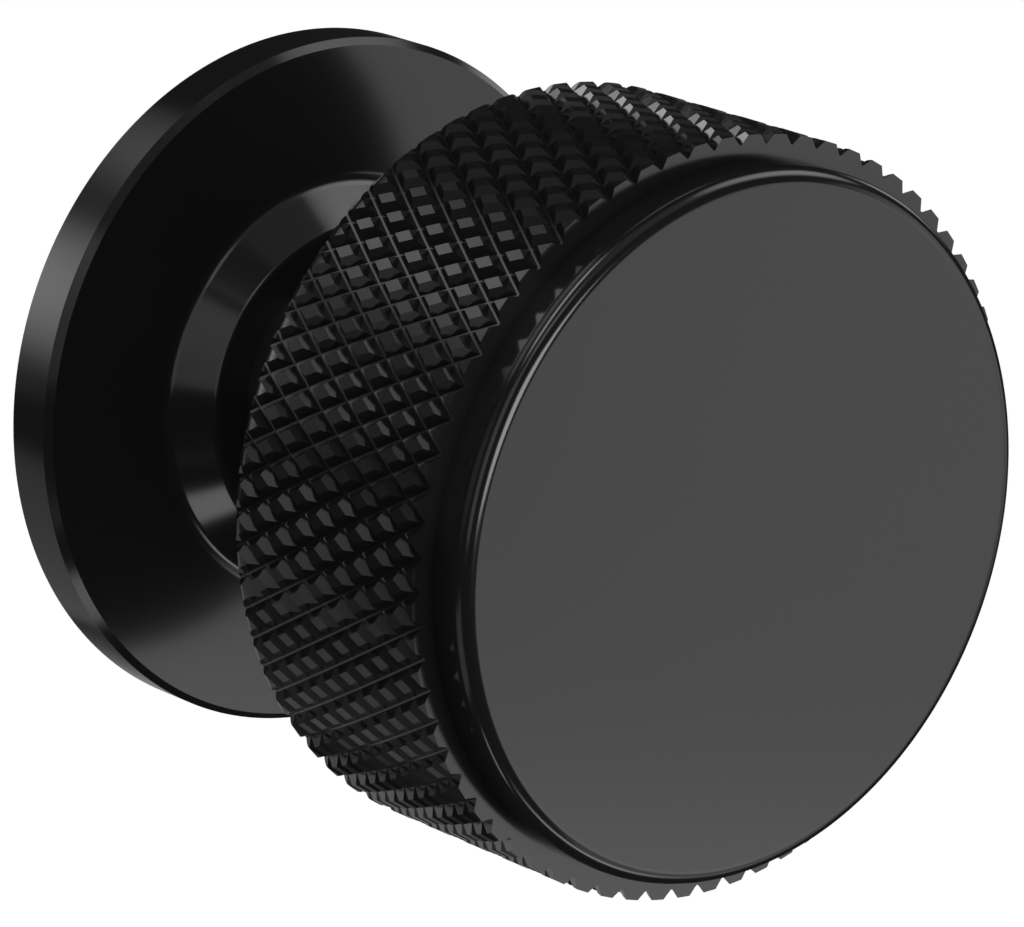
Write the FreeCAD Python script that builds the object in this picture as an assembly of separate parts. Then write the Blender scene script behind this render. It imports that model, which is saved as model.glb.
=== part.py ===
import FreeCAD, Part
import math
import os

# Knurled cabinet knob on a round backplate, in millimetres.
# The rear face lies in the XZ plane with its centre at the origin, and the knob points along -Y.
# A place is given by its distance from the axis and its distance forward of the rear face.

# Backplate: a turned disc with a low conical foot that the neck stands on
PLATE_DIAMETER = 36.0
PLATE_THICKNESS = 2.9
PLATE_CHAMFER = 0.35
FOOT_DIAMETER = 21.5
FOOT_HEIGHT = 1.95
FOOT_SLOPE = 45.0
FOOT_FILLET = 1.0
FOOT_ROUNDING = 0.6

# Neck, and the spigot below it that centres the knob in the backplate
NECK_DIAMETER = 14.0
NECK_LENGTH = 14.2
SPIGOT_DIAMETER = 9.0
SPIGOT_CHAMFER = 0.3
SPIGOT_CLEARANCE = 0.1

# Head: a drum with a diamond knurl over its whole length, and a plain raised disc on its front
HEAD_DIAMETER = 38.0
HEAD_LENGTH = 13.95
SHOULDER_WIDTH = 1.25
DISC_HEIGHT = 2.15
DISC_ROUNDING = 0.8

# Diamond knurl: diamonds round the head, angle of the grooves to the axis, depth, and width of the
# small flat that is left of the cylinder on each diamond, measured round the head. The turn places
# the pattern: a groove crossing lies on the shoulder's edge at this angle up from the +X side.
KNURL_COUNT = 70
KNURL_ANGLE = 30.0
KNURL_TURN = -1.05
KNURL_DEPTH = 0.47
KNURL_FLAT = 0.78

# Blind hole for an M4 fixing screw, at its tapping size
SCREW_HOLE_DIAMETER = 3.3
SCREW_HOLE_DEPTH = 12.0
DRILL_POINT_ANGLE = 118.0

# Distances forward of the rear face
SEAT = PLATE_THICKNESS + FOOT_HEIGHT
HEAD_BACK = SEAT + NECK_LENGTH
SHOULDER = HEAD_BACK + HEAD_LENGTH
FRONT = SHOULDER + DISC_HEIGHT

# Distances from the axis
HEAD_RADIUS = HEAD_DIAMETER / 2
ROOT_RADIUS = HEAD_RADIUS - KNURL_DEPTH
DISC_RADIUS = HEAD_RADIUS - SHOULDER_WIDTH
FOOT_RADIUS = FOOT_DIAMETER / 2
FOOT_TOP_RADIUS = FOOT_RADIUS - FOOT_HEIGHT / math.tan(math.radians(FOOT_SLOPE))
SPIGOT_RADIUS = SPIGOT_DIAMETER / 2
BORE_RADIUS = SPIGOT_RADIUS + SPIGOT_CLEARANCE

# Two points closer than this are one point
SAME_POINT = 1e-6
SAME_POINT_DIGITS = 6

ORIGIN = FreeCAD.Vector(0, 0, 0)
FORWARD = FreeCAD.Vector(0, -1, 0)


def place(radius, forward, turn=0.0):
    """Point at a distance from the axis, turned up from the +X side."""
    return FreeCAD.Vector(radius * math.cos(turn), -forward, radius * math.sin(turn))


def rounded_outline(corners):
    """Closed face from corners of (radius, forward, rounding), with tangent arcs at the rounded ones."""
    points = [place(radius, forward) for radius, forward, rounding in corners]
    arcs = []
    for index, corner in enumerate(points):
        rounding = corners[index][2]
        to_last = (points[index - 1] - corner).normalize()
        to_next = (points[(index + 1) % len(points)] - corner).normalize()
        half_angle = to_last.getAngle(to_next) / 2
        reach = rounding / math.tan(half_angle)
        inward = (to_last + to_next).normalize() * (rounding / math.sin(half_angle) - rounding)
        arcs.append((corner + to_last * reach, corner + inward, corner + to_next * reach))
    edges = []
    for index, (start, middle, end) in enumerate(arcs):
        edges.append(Part.makeLine(arcs[index - 1][2], start))
        if corners[index][2] > 0:
            edges.append(Part.Arc(start, middle, end).toShape())
    return Part.Face(Part.Wire(edges))


def turned(corners):
    """Solid of revolution about the axis."""
    return rounded_outline(corners).revolve(ORIGIN, FORWARD, 360)


def diamond():
    """Corner points of one knurl diamond: its flat, and the four groove crossings around it.

    The points are (outward, round, along) in the diamond's own axes. The walls between them are
    flat, which fixes the flat's length along the axis once its width is given.
    """
    half_turn = math.pi / KNURL_COUNT
    half_length = HEAD_RADIUS * half_turn / math.tan(math.radians(KNURL_ANGLE))
    flat_turn = KNURL_FLAT / 2 / HEAD_RADIUS
    flat_out = HEAD_RADIUS * math.cos(flat_turn)
    flat_side = HEAD_RADIUS * math.sin(flat_turn)
    fall_ahead = flat_out - ROOT_RADIUS
    fall_beside = flat_out - ROOT_RADIUS * math.cos(half_turn)
    wall_side = ROOT_RADIUS * math.sin(half_turn) - flat_side
    flat_ahead = (flat_side * half_length * fall_beside
                  / (fall_ahead * wall_side + flat_side * fall_beside))
    flat = [(flat_out, flat_side, 0),
            (flat_out, 0, flat_ahead),
            (flat_out, -flat_side, 0),
            (flat_out, 0, -flat_ahead)]
    side_out = ROOT_RADIUS * math.cos(half_turn)
    side_round = ROOT_RADIUS * math.sin(half_turn)
    crossings = [(side_out, side_round, 0),
                 (ROOT_RADIUS, 0, half_length),
                 (side_out, -side_round, 0),
                 (ROOT_RADIUS, 0, -half_length)]
    return flat, crossings, half_turn, half_length


def set_down(point, turn, forward):
    """A point of a diamond, moved to that diamond's place on the head."""
    outward, around, along = point
    radius = math.hypot(outward, around)
    return place(radius, forward + along, turn + math.atan2(around, outward))


def cut_off(points, level, side):
    """What a polygon keeps on one side of the plane at a level forward of the rear face."""
    kept = []
    heights = [side * (-point.y - level) for point in points]
    if max(heights) < SAME_POINT:
        return kept
    for index, point in enumerate(points):
        height = heights[index]
        next_height = heights[(index + 1) % len(points)]
        if height > -SAME_POINT:
            kept.append(point)
        if min(height, next_height) < -SAME_POINT and max(height, next_height) > SAME_POINT:
            share = height / (height - next_height)
            kept.append(point + (points[(index + 1) % len(points)] - point) * share)
    return kept


def end_face(polygons, level):
    """Flat end of the knurled drum, through the knurl's points in that plane."""
    by_place = {}
    for polygon in polygons:
        for point in polygon:
            if abs(-point.y - level) < SAME_POINT:
                by_place[(round(point.x, SAME_POINT_DIGITS), round(point.z, SAME_POINT_DIGITS))] = point
    outline = sorted(by_place.values(), key=lambda point: math.atan2(point.z, point.x))
    return Part.Face(Part.makePolygon(outline + outline[:1]))


def knurled_drum():
    """Head's drum, with both sets of grooves crossing on its side and cut straight at its ends."""
    flat, crossings, half_turn, half_length = diamond()
    rows = math.ceil(HEAD_LENGTH / half_length) + 1
    polygons = []
    for row in range(rows):
        forward = SHOULDER - row * half_length
        for number in range(KNURL_COUNT):
            turn = math.radians(KNURL_TURN) + (2 * number + (row + 1) % 2) * half_turn
            corners = [set_down(point, turn, forward) for point in flat]
            lows = [set_down(point, turn, forward) for point in crossings]
            pieces = [corners]
            for side in range(len(flat)):
                after = (side + 1) % len(flat)
                pieces.append([corners[side], lows[side], lows[after], corners[after]])
            for piece in pieces:
                piece = cut_off(piece, SHOULDER, -1)
                if piece:
                    piece = cut_off(piece, HEAD_BACK, 1)
                if piece:
                    polygons.append(piece)
    faces = [Part.Face(Part.makePolygon(polygon + polygon[:1])) for polygon in polygons]
    faces.append(end_face(polygons, SHOULDER))
    faces.append(end_face(polygons, HEAD_BACK))
    skin = Part.makeShell(faces)
    skin.sewShape()
    drum = Part.Solid(skin.Shells[0])
    if drum.Volume < 0:
        drum.reverse()
    return drum


def screw_hole():
    """Drilled space of the fixing screw, with the cone that a drill leaves."""
    radius = SCREW_HOLE_DIAMETER / 2
    tip = SCREW_HOLE_DEPTH + radius / math.tan(math.radians(DRILL_POINT_ANGLE / 2))
    return turned([(0, 0, 0), (radius, 0, 0), (radius, SCREW_HOLE_DEPTH, 0), (0, tip, 0)])


def knob():
    """Head, neck and spigot, turned from one bar."""
    middle_of_head = (HEAD_BACK + SHOULDER) / 2
    neck_radius = NECK_DIAMETER / 2
    bar = turned([
        (0, 0, 0),
        (SPIGOT_RADIUS - SPIGOT_CHAMFER, 0, 0),
        (SPIGOT_RADIUS, SPIGOT_CHAMFER, 0),
        (SPIGOT_RADIUS, SEAT, 0),
        (neck_radius, SEAT, 0),
        (neck_radius, middle_of_head, 0),
        (DISC_RADIUS, middle_of_head, 0),
        (DISC_RADIUS, FRONT, DISC_ROUNDING),
        (0, FRONT, 0),
    ])
    return knurled_drum().fuse(bar).cut(screw_hole())


def backplate():
    """Round plate with its foot, bored for the knob's spigot."""
    plate_radius = PLATE_DIAMETER / 2
    return turned([
        (BORE_RADIUS, 0, 0),
        (plate_radius, 0, 0),
        (plate_radius, PLATE_THICKNESS - PLATE_CHAMFER, 0),
        (plate_radius - PLATE_CHAMFER, PLATE_THICKNESS, 0),
        (FOOT_RADIUS, PLATE_THICKNESS, FOOT_FILLET),
        (FOOT_TOP_RADIUS, SEAT, FOOT_ROUNDING),
        (BORE_RADIUS, SEAT, 0),
    ])


def write_step(name, shape):
    """One STEP file for each piece, named after it."""
    shape.exportStep(os.path.join("parts", name + ".step"))
    box = shape.BoundBox
    print(name, "solids", len(shape.Solids), "valid", shape.isValid(), "volume", round(shape.Volume, 3),
          "box", round(box.XLength, 3), round(box.YLength, 3), round(box.ZLength, 3))


os.makedirs("parts", exist_ok=True)
write_step("knob", knob())
write_step("backplate", backplate())
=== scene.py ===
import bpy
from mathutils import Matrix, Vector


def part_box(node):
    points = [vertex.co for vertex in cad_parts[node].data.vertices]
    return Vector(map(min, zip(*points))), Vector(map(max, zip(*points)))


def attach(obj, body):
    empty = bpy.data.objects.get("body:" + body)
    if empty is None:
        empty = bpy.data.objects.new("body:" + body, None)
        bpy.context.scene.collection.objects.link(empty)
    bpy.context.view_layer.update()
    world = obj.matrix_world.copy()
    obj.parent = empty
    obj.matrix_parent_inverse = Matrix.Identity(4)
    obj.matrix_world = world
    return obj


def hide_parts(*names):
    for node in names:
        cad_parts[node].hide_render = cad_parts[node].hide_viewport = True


bl_info = {
    "name": "Knurled Cabinet Knob",
    "version": (1, 0, 0),
    "blender": (4, 5, 0),
    "location": "View3D > Sidebar > Knob",
    "description": "Models a knurled cabinet knob on its backplate, in satin black, with a small studio",
    "category": "Add Mesh",
}

import math

import bmesh
import bpy
from bpy.props import FloatProperty, FloatVectorProperty, IntProperty, PointerProperty
from mathutils import Quaternion, Vector

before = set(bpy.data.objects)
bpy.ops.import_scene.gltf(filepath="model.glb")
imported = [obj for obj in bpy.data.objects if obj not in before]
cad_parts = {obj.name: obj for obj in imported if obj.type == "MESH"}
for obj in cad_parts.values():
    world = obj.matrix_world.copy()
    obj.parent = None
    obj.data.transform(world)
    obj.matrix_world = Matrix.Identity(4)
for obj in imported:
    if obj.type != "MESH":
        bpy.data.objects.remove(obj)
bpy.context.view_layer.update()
plate_low, plate_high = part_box("backplate")
knob_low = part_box("knob")[0]

# The knob's axis is the Y axis. Its rear face is at Y = 0 and it points forward along -Y.
# Pieces are modelled in millimetres and brought to metres when they are finished.
MILLIMETRES = 1000.0
SAME_POINT = 0.0001
SAME_PLANE = 0.0005
CENTRE = (0.0, 0.0, 0.0)
AXIS = (0.0, -1.0, 0.0)
ROUND = 2 * math.pi

BODY = "root"
KNOB = "knurled_knob"
PLATE = "round_backplate"

# Turned pieces: sides for each knurl diamond round the head, turn of a rounding from one point to the
# next, how far outside a rounding the points stand that keep the faces beside it flat, and the angle
# between two faces up to which the edge between them looks smooth
SIDES_PER_DIAMOND = 5
ARC_STEP = math.radians(7.5)
EDGE_HOLD = 0.03
SMOOTH_ANGLE = math.radians(24)

# Tool that turns the head's back edge round: its steps along the edge, how many steps its ends run on
# past the edge, and how far it reaches out from the head
RUN_OUT_STEPS = 6
TOOL_OVERRUN = 3.0
TOOL_CLEARANCE = 1.0

# Metric thread: angle of its flanks to a plane across the axis, the groove floor's share of the pitch,
# points in one turn, and turns that run past each end of the hole before they are cut off
THREAD_FLANK = math.radians(30)
THREAD_FLOOR_SHARE = 1 / 8
THREAD_STEPS = 48
THREAD_OVERRUN = 2

COAT_IOR = 1.5
GRAIN_DETAIL = 2.0
CLOUD_DETAIL = 4.0


def length(name, description, default):
    """A size in metres that the user can change."""
    return FloatProperty(name=name, description=description, default=default, min=0.0, precision=5,
                         unit="LENGTH")


def angle(name, description, degrees):
    """An angle that the user can change."""
    return FloatProperty(name=name, description=description, default=math.radians(degrees),
                         subtype="ANGLE")


class BackplateSizes(bpy.types.PropertyGroup):
    """Sizes of the round plate and its foot."""

    diameter: length("Diameter", "Across the plate", plate_high.x - plate_low.x)
    thickness: length("Thickness", "Plate without its foot", 0.0029)
    chamfer: length("Chamfer", "On the plate's front edge", 0.00035)
    foot_diameter: length("Foot diameter", "Where the foot's slope meets the plate", 0.0215)
    foot_slope: angle("Foot slope", "Of the foot's side to the plate", 45.0)
    foot_fillet: length("Foot fillet", "Between plate and foot", 0.001)
    foot_rounding: length("Foot rounding", "On the foot's top edge", 0.0006)
    seat: length("Seat height", "From the rear face to the foot's top", -plate_low.y)
    bore: length("Bore", "Diameter of the hole for the spigot", 0.0092)


class KnobSizes(bpy.types.PropertyGroup):
    """Sizes of the turned knob."""

    head_diameter: length("Head diameter", "Across the knurl", 0.038)
    head_length: length("Head length", "Of the knurled drum", 0.01395)
    disc_height: length("Disc height", "Of the plain disc on the head's front", 0.00215)
    disc_rounding: length("Disc rounding", "On the disc's front edge", 0.0008)
    shoulder_width: length("Shoulder width", "From the knurl's tops to the disc", 0.00125)
    front: length("Projection", "From the rear face to the disc's front", -knob_low.y)
    neck_diameter: length("Neck diameter", "Between foot and head", 0.014)
    spigot_diameter: length("Spigot diameter", "Of the end that fits the backplate", 0.009)
    spigot_chamfer: length("Spigot chamfer", "On the spigot's end", 0.0003)
    hole_diameter: length("Screw hole", "Tapping diameter of the screw hole", 0.0033)
    hole_depth: length("Screw hole depth", "Without the drill's point", 0.012)
    thread_diameter: length("Thread diameter", "Outer diameter of the screw's thread", 0.004)
    thread_pitch: length("Thread pitch", "From one turn of the thread to the next", 0.0007)
    drill_point: angle("Drill point", "Of the cone at the hole's end", 118.0)


class KnurlSizes(bpy.types.PropertyGroup):
    """Sizes of the diamond knurl on the head."""

    count: IntProperty(name="Diamonds", description="In one row round the head", default=70, min=3)
    slope: angle("Groove angle", "Of the grooves to the axis", 30.0)
    turn: angle("Turn", "Of a front groove crossing, up from the +X side", -1.05)
    depth: length("Depth", "Of the grooves", 0.00047)
    flat: length("Top flat", "Width of each diamond's top, round the head", 0.00078)
    groove_floor: length("Groove floor", "Width of the flat at the grooves' bottom", 0.0001)
    run_out: length("Run-out", "Over which the diamonds fall away at the head's back edge", 0.0009)


class CoatLook(bpy.types.PropertyGroup):
    """Colour and surface of the satin black coat."""

    color: FloatVectorProperty(name="Colour", description="Of the coat", subtype="COLOR", size=3,
                               default=(0.0065, 0.0065, 0.0066), min=0.0, max=1.0)
    roughness: FloatProperty(name="Roughness", description="Of the coat", subtype="FACTOR",
                             default=0.15, min=0.0, max=1.0)
    grain_size: length("Grain size", "Of the coat's fine grain", 0.00009)
    grain_depth: length("Grain depth", "Of the coat's fine grain", 0.0000002)


class KnobSettings(bpy.types.PropertyGroup):
    """All that can be set for the knob."""

    plate: PointerProperty(type=BackplateSizes)
    knob: PointerProperty(type=KnobSizes)
    knurl: PointerProperty(type=KnurlSizes)
    coat: PointerProperty(type=CoatLook)


def settings():
    """The scene's settings for the knob."""
    return bpy.context.scene.cabinet_knob


def mm(metres):
    """A length in the millimetres that pieces are modelled in."""
    return metres * MILLIMETRES


def point(radius, forward, turn=0.0):
    """Place at a distance from the axis and forward of the rear face, turned up from the +X side."""
    return Vector((radius * math.cos(turn), -forward, radius * math.sin(turn)))


def select_none():
    """Leaves object mode with nothing selected."""
    if bpy.context.object and bpy.context.object.mode != "OBJECT":
        bpy.ops.object.mode_set(mode="OBJECT")
    bpy.ops.object.select_all(action="DESELECT")


def rounded(corners):
    """Points of a profile through (radius, forward, rounding) corners, with arcs at the rounded ones.

    An arc has a holding point just outside each end, so that the flat beside it stays flat.
    """
    places = [Vector((radius, forward)) for radius, forward, rounding in corners]
    path = []
    for index, corner in enumerate(places):
        rounding = corners[index][2]
        if rounding == 0:
            path.append(corner)
            continue
        back = (places[index - 1] - corner).normalized()
        on = (places[(index + 1) % len(places)] - corner).normalized()
        half = back.angle(on) / 2
        reach = rounding / math.tan(half)
        centre = corner + (back + on).normalized() * (rounding / math.sin(half))
        first = corner + back * reach - centre
        turning = first.angle_signed(corner + on * reach - centre)
        steps = max(2, round(abs(turning) / ARC_STEP))
        path.append(corner + back * (reach + EDGE_HOLD))
        for step in range(steps + 1):
            share = turning * step / steps
            path.append(centre + Vector((first.x * math.cos(share) + first.y * math.sin(share),
                                         first.y * math.cos(share) - first.x * math.sin(share))))
        path.append(corner + on * (reach + EDGE_HOLD))
    return path


def drawn(name, path):
    """A new object with the profile drawn point by point, left in edit mode."""
    select_none()
    bpy.ops.mesh.primitive_plane_add(size=1.0, location=CENTRE)
    piece = bpy.context.object
    piece.name = name
    piece.data.name = name
    bpy.ops.object.mode_set(mode="EDIT")
    bpy.ops.mesh.select_mode(type="VERT")
    bpy.ops.mesh.merge(type="CENTER")
    here = point(*path[0])
    bpy.ops.transform.translate(value=here)
    for place in path[1:]:
        there = point(*place)
        bpy.ops.mesh.extrude_vertices_move(TRANSFORM_OT_translate={"value": there - here})
        here = there
    return piece


def turned(name, corners, sides):
    """A profile spun round the axis, its ends open where they are off the axis."""
    piece = drawn(name, rounded(corners))
    bpy.ops.mesh.select_all(action="SELECT")
    bpy.ops.mesh.spin(steps=sides, angle=ROUND, center=CENTRE, axis=AXIS)
    merge_points()
    select_none()
    return piece


def merge_points():
    """Merges the points of the mesh in edit mode that lie together."""
    bpy.ops.mesh.select_all(action="SELECT")
    bpy.ops.mesh.remove_doubles(threshold=SAME_POINT)


def face_outwards():
    """Turns all faces of the closed mesh in edit mode outwards."""
    bpy.ops.mesh.select_all(action="SELECT")
    bpy.ops.mesh.normals_make_consistent(inside=False)


def close_profile(piece, ring, other_ring):
    """Joins two open rings of a turned piece, each given as (radius, forward)."""
    bpy.context.view_layer.objects.active = piece
    bpy.ops.object.mode_set(mode="EDIT")
    select_edges(piece, lambda edge: on_ring(edge, *ring) or on_ring(edge, *other_ring))
    bpy.ops.mesh.bridge_edge_loops()
    select_none()


def on_ring(edge, radius, forward):
    """Whether an edge lies on a ring about the axis."""
    return all(abs(-vert.co.y - forward) < SAME_PLANE
               and abs(math.hypot(vert.co.x, vert.co.z) - radius) < SAME_PLANE
               for vert in edge.verts)


def select_edges(piece, chosen):
    """Selects the open edges of the mesh in edit mode that pass a test."""
    bpy.ops.mesh.select_mode(type="EDGE")
    bpy.ops.mesh.select_all(action="DESELECT")
    mesh = bmesh.from_edit_mesh(piece.data)
    for edge in mesh.edges:
        edge.select = len(edge.link_faces) == 1 and chosen(edge)
    mesh.select_flush_mode()
    bmesh.update_edit_mesh(piece.data)


def select_points(piece, chosen):
    """Keeps selected only those points of the mesh in edit mode that pass a test."""
    bpy.ops.mesh.select_mode(type="VERT")
    mesh = bmesh.from_edit_mesh(piece.data)
    for vert in mesh.verts:
        vert.select = vert.select and chosen(vert.co)
    mesh.select_flush_mode()
    bmesh.update_edit_mesh(piece.data)


def cut_at(forward, side):
    """Cuts away what is forward of a plane across the axis (side 1) or behind it (side -1)."""
    bpy.ops.mesh.select_all(action="SELECT")
    bpy.ops.mesh.bisect(plane_co=(0, -forward, 0), plane_no=(0, -side, 0), clear_outer=True,
                        threshold=SAME_POINT)


def bridge_at(piece, forward):
    """Closes the flat ring between the two open outlines in a plane across the axis."""
    select_edges(piece, lambda edge: all(abs(-vert.co.y - forward) < SAME_PLANE for vert in edge.verts))
    bpy.ops.mesh.bridge_edge_loops()


def knurl_diamond(sizes, head_radius):
    """One diamond on the +X side of the axis: its top, its four walls and its half of the grooves.

    Each ring of its points is given by its radius and by its share of the way from the diamond's
    middle to the middle of the grooves.
    """
    half_turn = math.pi / sizes.count
    root_radius = head_radius - mm(sizes.depth)
    half_length = head_radius * half_turn / math.tan(sizes.slope)
    flat_turn = mm(sizes.flat) / 2 / head_radius
    flat_share = flat_turn / half_turn
    half_groove = head_radius * half_turn * math.cos(sizes.slope)
    wall_share = 1 - mm(sizes.groove_floor) / 2 / half_groove
    rings = [(head_radius, flat_share), (root_radius, wall_share), (root_radius, 1.0)]

    select_none()
    bpy.ops.mesh.primitive_circle_add(vertices=4, radius=1.0, fill_type="NGON", location=CENTRE,
                                      rotation=(0, math.radians(90), 0))
    piece = bpy.context.object
    bpy.ops.object.transform_apply(rotation=True)
    bpy.ops.object.mode_set(mode="EDIT")
    bpy.ops.mesh.select_all(action="SELECT")
    last = None
    for radius, share in rings:
        ahead = half_length * share
        beside = radius * math.sin(half_turn * share)
        if last is None:
            bpy.ops.transform.resize(value=(1, ahead, beside), center_override=CENTRE)
            bpy.ops.transform.translate(value=(radius * math.cos(flat_turn), 0, 0))
        else:
            last_ahead, last_beside = last
            bpy.ops.mesh.select_mode(type="EDGE")
            bpy.ops.mesh.extrude_edges_move(TRANSFORM_OT_translate={"value": (0, 0, 0)})
            bpy.ops.transform.resize(value=(0, ahead / last_ahead, beside / last_beside),
                                     center_override=(radius, 0, 0))
            drop_sides(piece, radius - radius * math.cos(half_turn * share))
        last = (ahead, beside)
    return piece, half_turn, half_length


def drop_sides(piece, drop):
    """Lowers the two side points of a diamond's selected ring on to the root of the knurl."""
    mesh = bmesh.from_edit_mesh(piece.data)
    ring = [vert.index for vert in mesh.verts if vert.select]
    select_points(piece, lambda place: abs(place.z) > SAME_PLANE)
    bpy.ops.transform.translate(value=(-drop, 0, 0))
    mesh = bmesh.from_edit_mesh(piece.data)
    mesh.verts.ensure_lookup_table()
    for index in ring:
        mesh.verts[index].select = True
    mesh.select_flush(True)
    bmesh.update_edit_mesh(piece.data)


def knurled_band(sizes, head_radius, shoulder, head_back):
    """The head's side: one diamond, copied row by row, then round the head, and cut at both ends."""
    piece, half_turn, half_length = knurl_diamond(sizes, head_radius)
    bpy.ops.mesh.select_all(action="SELECT")
    bpy.ops.transform.translate(value=(0, -shoulder, 0))
    bpy.ops.transform.rotate(value=sizes.turn + half_turn, orient_axis="Y", center_override=CENTRE)
    rows = math.ceil((shoulder - head_back) / half_length) + 1
    for _ in range(rows - 1):
        bpy.ops.mesh.duplicate()
        bpy.ops.transform.translate(value=(0, half_length, 0))
        bpy.ops.transform.rotate(value=half_turn, orient_axis="Y", center_override=CENTRE)
    bpy.ops.mesh.select_all(action="SELECT")
    copies = sizes.count - 1
    bpy.ops.mesh.spin(steps=copies, dupli=True, angle=ROUND * copies / sizes.count, center=CENTRE,
                      axis=AXIS)
    merge_points()
    cut_at(shoulder, 1)
    cut_at(head_back, -1)
    select_none()
    return piece


def round_off_knurl(piece, sizes, head_radius, head_back, sides):
    """Turns the head's back edge round, from the diamonds' tops down to the knurl's root."""
    reach = mm(sizes.run_out)
    drop = mm(sizes.depth)
    rounding = (reach * reach + drop * drop) / (2 * drop)
    edge = []
    for step in range(RUN_OUT_STEPS + 1):
        inside = reach * step / RUN_OUT_STEPS
        edge.append(Vector((head_radius - rounding + math.sqrt(rounding ** 2 - inside ** 2),
                            head_back + reach - inside)))
    before = edge[0] + (edge[0] - edge[1]) * TOOL_OVERRUN
    beyond = edge[-1] + (edge[-1] - edge[-2]) * TOOL_OVERRUN
    outside = Vector((head_radius + TOOL_CLEARANCE, beyond.y))
    outline = [before, *edge[1:-1], beyond, outside, Vector((outside.x, before.y)), before]
    tool = turned("edge_tool", [(*place, 0) for place in outline], sides)
    bpy.ops.object.mode_set(mode="EDIT")
    face_outwards()
    select_none()
    bpy.context.view_layer.objects.active = piece
    cut = piece.modifiers.new("back_edge", "BOOLEAN")
    cut.operation = "DIFFERENCE"
    cut.solver = "EXACT"
    cut.object = tool
    bpy.ops.object.modifier_apply(modifier=cut.name)
    tool.select_set(True)
    bpy.ops.object.delete()


def screw_thread(sizes):
    """The screw hole's wall with its helical thread, cut at the rear face and at the hole's depth."""
    pitch = mm(sizes.thread_pitch)
    inner = mm(sizes.hole_diameter) / 2
    outer = mm(sizes.thread_diameter) / 2
    depth = mm(sizes.hole_depth)
    slant = (outer - inner) * math.tan(THREAD_FLANK)
    floor = pitch * THREAD_FLOOR_SHARE
    crest = pitch - 2 * slant - floor
    start = -THREAD_OVERRUN * pitch
    path = [(inner, start), (inner, start + crest), (outer, start + crest + slant),
            (outer, start + crest + slant + floor), (inner, start + pitch)]
    piece = drawn("screw_thread", path)
    select_none()
    piece.select_set(True)
    screw = piece.modifiers.new("thread", "SCREW")
    screw.axis = "Y"
    screw.screw_offset = -pitch
    screw.iterations = math.ceil(depth / pitch) + 2 * THREAD_OVERRUN
    screw.steps = screw.render_steps = THREAD_STEPS
    screw.use_merge_vertices = False
    bpy.ops.object.modifier_apply(modifier=screw.name)
    bpy.ops.object.mode_set(mode="EDIT")
    merge_points()
    cut_at(depth, 1)
    cut_at(0.0, -1)
    select_none()
    return piece


def finish_piece(piece, name, cad_node):
    """Closes the work on a piece: outward faces, metres, crisp edges, coat, body and CAD node."""
    select_none()
    piece.name = name
    piece.data.name = name
    piece.select_set(True)
    bpy.context.view_layer.objects.active = piece
    bpy.ops.object.mode_set(mode="EDIT")
    merge_points()
    face_outwards()
    bpy.ops.transform.resize(value=(1 / MILLIMETRES,) * 3, center_override=CENTRE)
    bpy.ops.object.mode_set(mode="OBJECT")
    bpy.ops.object.shade_smooth_by_angle(angle=SMOOTH_ANGLE)
    piece.data.materials.clear()
    piece.data.materials.append(satin_black())
    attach(piece, BODY)
    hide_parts(cad_node)


def empty_tree(owner):
    """The node tree of a material, world or lamp, emptied."""
    owner.use_nodes = True
    owner.node_tree.nodes.clear()
    return owner.node_tree


def node(tree, kind, place, **values):
    """A shader node at a place in the tree, with some of its settings."""
    made = tree.nodes.new(kind)
    made.location = place
    for name, value in values.items():
        setattr(made, name, value)
    return made


def coat_grain_group():
    """Fine grain and faint cloudiness of a sprayed coat, as values for roughness and height."""
    name = "Coat grain"
    if name in bpy.data.node_groups:
        return bpy.data.node_groups[name]
    group = bpy.data.node_groups.new(name, "ShaderNodeTree")
    sockets = group.interface
    for label, default in (("Grain scale", 10000.0), ("Cloud scale", 160.0), ("Roughness", 0.15),
                           ("Roughness spread", 0.04)):
        socket = sockets.new_socket(label, in_out="INPUT", socket_type="NodeSocketFloat")
        socket.default_value = default
    for label in ("Roughness", "Height"):
        sockets.new_socket(label, in_out="OUTPUT", socket_type="NodeSocketFloat")
    inputs = node(group, "NodeGroupInput", (-900, 0))
    outputs = node(group, "NodeGroupOutput", (500, 0))
    places = node(group, "ShaderNodeTexCoord", (-900, 250))
    grain = node(group, "ShaderNodeTexNoise", (-600, 200))
    grain.inputs["Detail"].default_value = GRAIN_DETAIL
    clouds = node(group, "ShaderNodeTexNoise", (-600, -150))
    clouds.inputs["Detail"].default_value = CLOUD_DETAIL
    group.links.new(places.outputs["Object"], grain.inputs["Vector"])
    group.links.new(places.outputs["Object"], clouds.inputs["Vector"])
    group.links.new(inputs.outputs["Grain scale"], grain.inputs["Scale"])
    group.links.new(inputs.outputs["Cloud scale"], clouds.inputs["Scale"])
    centred = node(group, "ShaderNodeMath", (-350, -150), operation="SUBTRACT")
    centred.inputs[1].default_value = 0.5
    spread = node(group, "ShaderNodeMath", (-120, -150), operation="MULTIPLY_ADD")
    group.links.new(clouds.outputs["Fac"], centred.inputs[0])
    group.links.new(centred.outputs[0], spread.inputs[0])
    group.links.new(inputs.outputs["Roughness spread"], spread.inputs[1])
    group.links.new(inputs.outputs["Roughness"], spread.inputs[2])
    group.links.new(spread.outputs[0], outputs.inputs["Roughness"])
    group.links.new(grain.outputs["Fac"], outputs.inputs["Height"])
    return group


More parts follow.
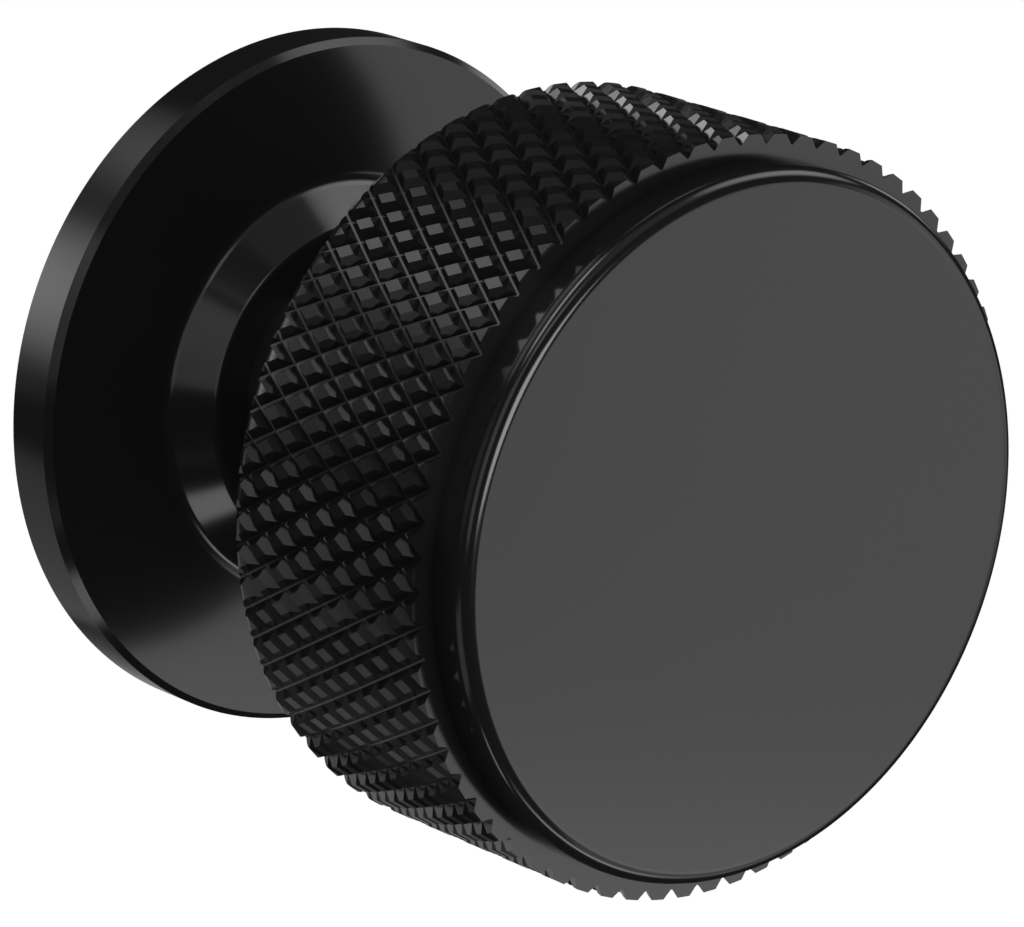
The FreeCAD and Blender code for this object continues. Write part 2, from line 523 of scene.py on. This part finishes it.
def satin_black():
    """Material of the satin black coat on the turned metal."""
    name = "Satin black coat"
    if name in bpy.data.materials:
        return bpy.data.materials[name]
    look = settings().coat
    material = bpy.data.materials.new(name)
    tree = empty_tree(material)
    output = node(tree, "ShaderNodeOutputMaterial", (500, 0))
    coat = node(tree, "ShaderNodeBsdfPrincipled", (200, 0))
    coat.inputs["Base Color"].default_value = (*look.color, 1.0)
    coat.inputs["IOR"].default_value = COAT_IOR
    grain = node(tree, "ShaderNodeGroup", (-400, 0), node_tree=coat_grain_group())
    grain.inputs["Grain scale"].default_value = 1 / look.grain_size
    grain.inputs["Roughness"].default_value = look.roughness
    bump = node(tree, "ShaderNodeBump", (-100, -150))
    bump.inputs["Distance"].default_value = look.grain_depth
    tree.links.new(grain.outputs["Height"], bump.inputs["Height"])
    tree.links.new(grain.outputs["Roughness"], coat.inputs["Roughness"])
    tree.links.new(bump.outputs["Normal"], coat.inputs["Normal"])
    tree.links.new(coat.outputs["BSDF"], output.inputs["Surface"])
    return material


class KNOB_OT_backplate(bpy.types.Operator):
    """Model the round backplate with its conical foot and bore"""

    bl_idname = "cabinet_knob.backplate"
    bl_label = "Backplate"

    def execute(self, context):
        sizes = settings().plate
        radius = mm(sizes.diameter) / 2
        thickness = mm(sizes.thickness)
        chamfer = mm(sizes.chamfer)
        foot = mm(sizes.foot_diameter) / 2
        seat = mm(sizes.seat)
        bore = mm(sizes.bore) / 2
        foot_top = foot - (seat - thickness) / math.tan(sizes.foot_slope)
        sides = settings().knurl.count * SIDES_PER_DIAMOND
        plate = turned(PLATE, [
            (bore, seat, 0),
            (bore, 0, 0),
            (radius, 0, 0),
            (radius, thickness - chamfer, 0),
            (radius - chamfer, thickness, 0),
            (foot, thickness, mm(sizes.foot_fillet)),
            (foot_top, seat, mm(sizes.foot_rounding)),
            (bore + EDGE_HOLD, seat, 0),
        ], sides)
        close_profile(plate, (bore, seat), (bore + EDGE_HOLD, seat))
        finish_piece(plate, PLATE, "backplate")
        return {"FINISHED"}


class KNOB_OT_knob(bpy.types.Operator):
    """Model the turned knob: head with diamond knurl and disc, neck, spigot and tapped hole"""

    bl_idname = "cabinet_knob.knob"
    bl_label = "Knob"

    def execute(self, context):
        sizes = settings().knob
        knurl = settings().knurl
        head_radius = mm(sizes.head_diameter) / 2
        front = mm(sizes.front)
        shoulder = front - mm(sizes.disc_height)
        head_back = shoulder - mm(sizes.head_length)
        disc_radius = head_radius - mm(sizes.shoulder_width)
        neck_radius = mm(sizes.neck_diameter) / 2
        spigot_radius = mm(sizes.spigot_diameter) / 2
        spigot_chamfer = mm(sizes.spigot_chamfer)
        seat = mm(settings().plate.seat)
        hole_radius = mm(sizes.hole_diameter) / 2
        depth = mm(sizes.hole_depth)
        tip = depth + hole_radius / math.tan(sizes.drill_point / 2)
        sides = knurl.count * SIDES_PER_DIAMOND

        band = knurled_band(knurl, head_radius, shoulder, head_back)
        disc = turned("disc", [
            (disc_radius, shoulder, 0),
            (disc_radius, front, mm(sizes.disc_rounding)),
            (0, front, 0),
        ], sides)
        neck = turned("neck", [
            (neck_radius, head_back, 0),
            (neck_radius, seat, 0),
            (spigot_radius, seat, 0),
            (spigot_radius, spigot_chamfer, 0),
            (spigot_radius - spigot_chamfer, 0, 0),
        ], sides)
        drill_point = turned("drill_point", [(hole_radius, depth, 0), (0, tip, 0)], sides)
        thread = screw_thread(sizes)

        select_none()
        for part in (band, disc, neck, drill_point, thread):
            part.select_set(True)
        bpy.context.view_layer.objects.active = band
        bpy.ops.object.join()
        bpy.ops.object.mode_set(mode="EDIT")
        for forward in (shoulder, head_back, depth, 0.0):
            bridge_at(band, forward)
        merge_points()
        face_outwards()
        select_none()
        round_off_knurl(band, knurl, head_radius, head_back, sides)
        finish_piece(band, KNOB, "knob")
        return {"FINISHED"}


# The camera stands where the photograph was taken from: left of the knob's front and above it. Its turn
# and rise are in degrees, its distance and aim in metres, its lens and sensor in millimetres.
CAMERA_TURN = -39.866
CAMERA_RISE = 17.514
CAMERA_DISTANCE = 0.34389
CAMERA_AIM = Vector((0.00766, -0.0083, -0.00463))
CAMERA_LENS = 233.28
SENSOR_WIDTH = 36.0
CLIP_START = 0.01
CLIP_END = 20.0

# White world and floor: the light that they give, and the floor's colour and the glow that brings its
# lit cloth to white where it is seen
WORLD_LIGHT = 0.5
FLOOR_COLOR = 0.8
FLOOR_GLOW = 0.6
FLOOR_DROP = 0.33
FLOOR_SIZE = 8.0

# Dark tent about the knob, which only its reflections show, with the soft boxes just inside it
STUDIO_CENTRE = Vector((0.0, -0.018, 0.0))
TENT_RADIUS = 0.31
TENT_LEVEL = 0.017
TENT_SEGMENTS = 48
TENT_RINGS = 24
LAMP_DISTANCE = 0.29

# Soft boxes: name, turn from the knob's front towards +X, rise above the horizon, roll, the width and
# height that they fill as seen from the knob, all in degrees, share of them that is soft edge, strength
LAMPS = (
    ("front_box", 6.3, 1.0, -3.1, 25.2, 22.0, 0.22, 6.54),
    ("top_left_box", -52.0, 60.4, -25.2, 15.5, 38.3, 0.53, 4.54),
    ("top_front_strip", -10.4, 70.0, 0.0, 23.5, 9.7, 0.51, 0.19),
    ("top_right_haze", 15.1, 52.3, 8.3, 47.2, 37.2, 0.47, 0.25),
    ("right_high_panel", 67.1, 42.3, 39.4, 36.1, 59.5, 0.78, 2.60),
    ("right_side_box", 105.3, 12.5, -1.2, 21.2, 21.5, 0.64, 1.17),
    ("right_table", 40.5, -16.0, -20.4, 19.5, 40.1, 0.15, 1.22),
    ("right_low_fill", 62.9, -4.7, 12.4, 33.4, 56.0, 0.74, 0.94),
    ("low_right_box", 44.2, -39.0, -3.7, 34.2, 34.6, 0.15, 0.71),
    ("low_front_strip", 17.1, -58.9, 4.0, 47.6, 11.9, 0.75, 3.63),
    ("low_left_box", -55.1, -57.3, 8.1, 7.0, 17.2, 0.34, 2.76),
    ("low_left_side", -80.4, -30.0, 11.7, 38.0, 28.2, 0.33, 0.48),
    ("left_front_strip", -44.2, 15.2, -8.8, 27.1, 60.8, 0.51, 0.79),
    ("upper_front_patch", -24.5, 40.7, 23.1, 26.5, 13.8, 0.46, 1.55),
    ("left_haze", -91.0, 17.6, 9.3, 57.6, 55.4, 0.90, 0.23),
    ("high_left_panel", -116.4, 59.4, 24.1, 30.0, 47.2, 0.40, 0.90),
    ("left_back_box", -144.8, 14.6, 18.7, 11.5, 39.1, 0.99, 3.65),
    ("left_back_panel", -155.1, 10.0, 21.7, 16.2, 48.7, 0.16, 0.47),
    ("left_back_high", -157.0, 41.7, -14.2, 48.0, 20.0, 0.92, 1.52),
    ("right_back_box", 163.4, 3.2, -3.6, 7.0, 27.1, 0.34, 1.78),
    ("right_back_low", 133.6, -10.3, 0.8, 21.7, 20.3, 0.69, 0.16),
    ("right_back_high", 123.9, 71.4, -13.2, 7.0, 35.9, 0.62, 1.15),
    ("low_back_panel", -162.0, -30.0, 20.0, 46.0, 34.0, 0.33, 0.29),
    ("back_fill", 160.0, -22.0, 0.0, 62.0, 44.0, 0.80, 0.35),
)


def direction(turn, rise):
    """Unit vector at a turn from the knob's front towards +X and a rise above the horizon, in degrees."""
    turn, rise = math.radians(turn), math.radians(rise)
    return Vector((math.sin(turn) * math.cos(rise), -math.cos(turn) * math.cos(rise), math.sin(rise)))


def soft_edge(tree, across, softness, place):
    """How bright a soft box is at a place across it, falling off smoothly to both its edges."""
    left, level = place
    from_middle = node(tree, "ShaderNodeMath", place, operation="MULTIPLY_ADD")
    from_middle.inputs[1].default_value = 2.0
    from_middle.inputs[2].default_value = -1.0
    distance = node(tree, "ShaderNodeMath", (left + 180, level), operation="ABSOLUTE")
    fall = node(tree, "ShaderNodeMapRange", (left + 360, level), interpolation_type="SMOOTHSTEP")
    fall.inputs["From Min"].default_value = 1.0
    fall.inputs["From Max"].default_value = 1.0 - softness
    tree.links.new(across, from_middle.inputs[0])
    tree.links.new(from_middle.outputs[0], distance.inputs[0])
    tree.links.new(distance.outputs[0], fall.inputs["Value"])
    return fall.outputs["Result"]


def add_lamp(name, turn, rise, roll, width, height, softness, strength):
    """A soft box that faces the knob, where a strength of 1 is white."""
    data = bpy.data.lights.new(name, "AREA")
    data.shape = "RECTANGLE"
    data.size = 2 * LAMP_DISTANCE * math.tan(math.radians(width) / 2)
    data.size_y = 2 * LAMP_DISTANCE * math.tan(math.radians(height) / 2)
    data.energy = strength * math.pi * data.size * data.size_y
    tree = empty_tree(data)
    output = node(tree, "ShaderNodeOutputLight", (600, 0))
    cloth = node(tree, "ShaderNodeEmission", (400, 0))
    both = node(tree, "ShaderNodeMath", (200, 0), operation="MULTIPLY")
    surface = node(tree, "ShaderNodeNewGeometry", (-700, 0))
    parts = node(tree, "ShaderNodeSeparateXYZ", (-500, 0))
    tree.links.new(surface.outputs["Parametric"], parts.inputs[0])
    tree.links.new(soft_edge(tree, parts.outputs["X"], softness, (-300, 150)), both.inputs[0])
    tree.links.new(soft_edge(tree, parts.outputs["Y"], softness, (-300, -150)), both.inputs[1])
    tree.links.new(both.outputs[0], cloth.inputs["Strength"])
    tree.links.new(cloth.outputs[0], output.inputs["Surface"])
    lamp = bpy.data.objects.new(name, data)
    bpy.context.scene.collection.objects.link(lamp)
    toward = direction(turn, rise)
    lamp.location = STUDIO_CENTRE + toward * LAMP_DISTANCE
    lamp.rotation_mode = "QUATERNION"
    lamp.rotation_quaternion = (toward.to_track_quat("Z", "Y")
                                @ Quaternion((0.0, 0.0, 1.0), math.radians(roll)))
    lamp.visible_camera = False


def add_camera():
    """The camera at the photograph's place."""
    back = direction(CAMERA_TURN, CAMERA_RISE)
    data = bpy.data.cameras.new("camera")
    data.sensor_width = SENSOR_WIDTH
    data.lens = CAMERA_LENS
    data.clip_start = CLIP_START
    data.clip_end = CLIP_END
    camera = bpy.data.objects.new("camera", data)
    bpy.context.scene.collection.objects.link(camera)
    camera.location = CAMERA_AIM + back * CAMERA_DISTANCE
    camera.rotation_mode = "QUATERNION"
    camera.rotation_quaternion = back.to_track_quat("Z", "Y")
    bpy.context.scene.camera = camera


def sees_background(tree, place):
    """Mask of the rays that show the background: from the camera, and off or through a surface."""
    left, level = place
    rays = node(tree, "ShaderNodeLightPath", place)
    mask = rays.outputs["Is Camera Ray"]
    for name in ("Is Glossy Ray", "Is Transmission Ray"):
        left += 180
        either = node(tree, "ShaderNodeMath", (left, level), operation="MAXIMUM")
        tree.links.new(mask, either.inputs[0])
        tree.links.new(rays.outputs[name], either.inputs[1])
        mask = either.outputs[0]
    return mask


def plain_world():
    """White all round where it is seen, and a soft even light."""
    world = bpy.data.worlds.new("plain_world")
    tree = empty_tree(world)
    output = node(tree, "ShaderNodeOutputWorld", (600, 0))
    light = node(tree, "ShaderNodeBackground", (200, 100))
    light.inputs["Strength"].default_value = WORLD_LIGHT
    white = node(tree, "ShaderNodeBackground", (200, -100))
    mix = node(tree, "ShaderNodeMixShader", (400, 0))
    tree.links.new(sees_background(tree, (-300, 200)), mix.inputs[0])
    tree.links.new(light.outputs[0], mix.inputs[1])
    tree.links.new(white.outputs[0], mix.inputs[2])
    tree.links.new(mix.outputs[0], output.inputs["Surface"])
    for background in (light, white):
        background.inputs["Color"].default_value = (1.0, 1.0, 1.0, 1.0)
    bpy.context.scene.world = world


def floor_material():
    """Pale floor that keeps a shadow and otherwise shows as white as the backdrop."""
    material = bpy.data.materials.new("Pale floor")
    tree = empty_tree(material)
    output = node(tree, "ShaderNodeOutputMaterial", (600, 0))
    matt = node(tree, "ShaderNodeBsdfDiffuse", (200, 100))
    matt.inputs["Color"].default_value = (FLOOR_COLOR, FLOOR_COLOR, FLOOR_COLOR, 1.0)
    glow = node(tree, "ShaderNodeEmission", (200, -100))
    both = node(tree, "ShaderNodeAddShader", (400, 0))
    mask = sees_background(tree, (-600, -200))
    level = node(tree, "ShaderNodeMath", (0, -200), operation="MULTIPLY")
    level.inputs[1].default_value = FLOOR_GLOW
    tree.links.new(mask, level.inputs[0])
    tree.links.new(level.outputs[0], glow.inputs["Strength"])
    tree.links.new(matt.outputs[0], both.inputs[0])
    tree.links.new(glow.outputs[0], both.inputs[1])
    tree.links.new(both.outputs[0], output.inputs["Surface"])
    return material


def tent_material():
    """Dark cloth of the tent, at an even level."""
    material = bpy.data.materials.new("Dark tent")
    tree = empty_tree(material)
    output = node(tree, "ShaderNodeOutputMaterial", (300, 0))
    cloth = node(tree, "ShaderNodeEmission", (0, 0))
    cloth.inputs["Strength"].default_value = TENT_LEVEL
    tree.links.new(cloth.outputs[0], output.inputs["Surface"])
    return material


class KNOB_OT_stage(bpy.types.Operator):
    """Set up the floor, the dark tent, the soft lamps and the camera"""

    bl_idname = "cabinet_knob.stage"
    bl_label = "Stage"

    def execute(self, context):
        select_none()
        bpy.ops.mesh.primitive_plane_add(size=FLOOR_SIZE, location=(0, 0, -FLOOR_DROP))
        floor = bpy.context.object
        floor.name = "floor"
        floor.data.materials.append(floor_material())
        select_none()
        bpy.ops.mesh.primitive_uv_sphere_add(segments=TENT_SEGMENTS, ring_count=TENT_RINGS,
                                             radius=TENT_RADIUS, location=STUDIO_CENTRE)
        tent = bpy.context.object
        tent.name = "tent"
        tent.data.materials.append(tent_material())
        tent.visible_camera = False
        tent.visible_diffuse = False
        tent.visible_shadow = False
        tent.visible_transmission = False
        for lamp in LAMPS:
            add_lamp(*lamp)
        plain_world()
        add_camera()
        context.scene.view_settings.view_transform = "Standard"
        return {"FINISHED"}


class KNOB_PT_panel(bpy.types.Panel):
    """Sizes, coat and building steps of the knob"""

    bl_label = "Cabinet Knob"
    bl_idname = "KNOB_PT_panel"
    bl_space_type = "VIEW_3D"
    bl_region_type = "UI"
    bl_category = "Knob"

    def draw(self, context):
        chosen = settings()
        for title, group in (("Backplate", chosen.plate), ("Knob", chosen.knob),
                             ("Knurl", chosen.knurl), ("Coat", chosen.coat)):
            box = self.layout.box()
            box.label(text=title)
            for name in group.__annotations__:
                box.prop(group, name)
        for step in STEPS:
            self.layout.operator(step.bl_idname)


STEPS = (KNOB_OT_backplate, KNOB_OT_knob, KNOB_OT_stage)
CLASSES = (BackplateSizes, KnobSizes, KnurlSizes, CoatLook, KnobSettings, *STEPS, KNOB_PT_panel)


def register():
    for item in CLASSES:
        bpy.utils.register_class(item)
    bpy.types.Scene.cabinet_knob = PointerProperty(type=KnobSettings)


def unregister():
    del bpy.types.Scene.cabinet_knob
    for item in reversed(CLASSES):
        bpy.utils.unregister_class(item)


def main():
    register()
    bpy.ops.cabinet_knob.backplate()
    bpy.ops.cabinet_knob.knob()
    bpy.ops.cabinet_knob.stage()


if __name__ == "__main__":
    main()
